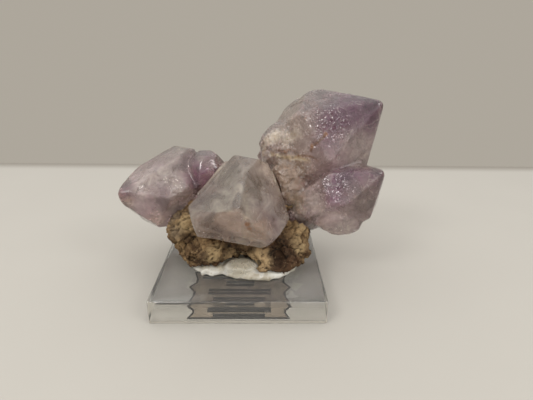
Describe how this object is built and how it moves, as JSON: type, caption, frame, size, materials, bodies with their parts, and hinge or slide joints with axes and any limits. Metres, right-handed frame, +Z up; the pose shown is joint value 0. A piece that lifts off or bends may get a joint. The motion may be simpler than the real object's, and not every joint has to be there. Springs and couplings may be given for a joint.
{
  "type": "mineral specimen",
  "caption": "Cluster of pale amethyst crystals on a lump of brown rock, glued to a square clear acrylic display slab with a blank label under it.",
  "frame": {"origin": "centre of the acrylic slab's underside", "axes": "+X along the specimen's long way, to the viewer's right; +Y away from the viewer; +Z up"},
  "size_m": [0.084, 0.0609, 0.061],
  "materials": {
    "acrylic": "clear, polished",
    "label_film": "pale film with a thin dark border",
    "glue": "cream, softly glossy, slightly translucent",
    "matrix_rock": "rough, crumbly, brown and tan",
    "amethyst": "milky and translucent, pale lilac with purple zones"
  },
  "bodies": {
    "root": {"base_slab": "acrylic", "label": "label_film", "glue": "glue", "matrix": "matrix_rock", "left_crystals": "amethyst", "centre_crystal": "amethyst", "right_crystals": "amethyst"}
  },
  "joints": []
}
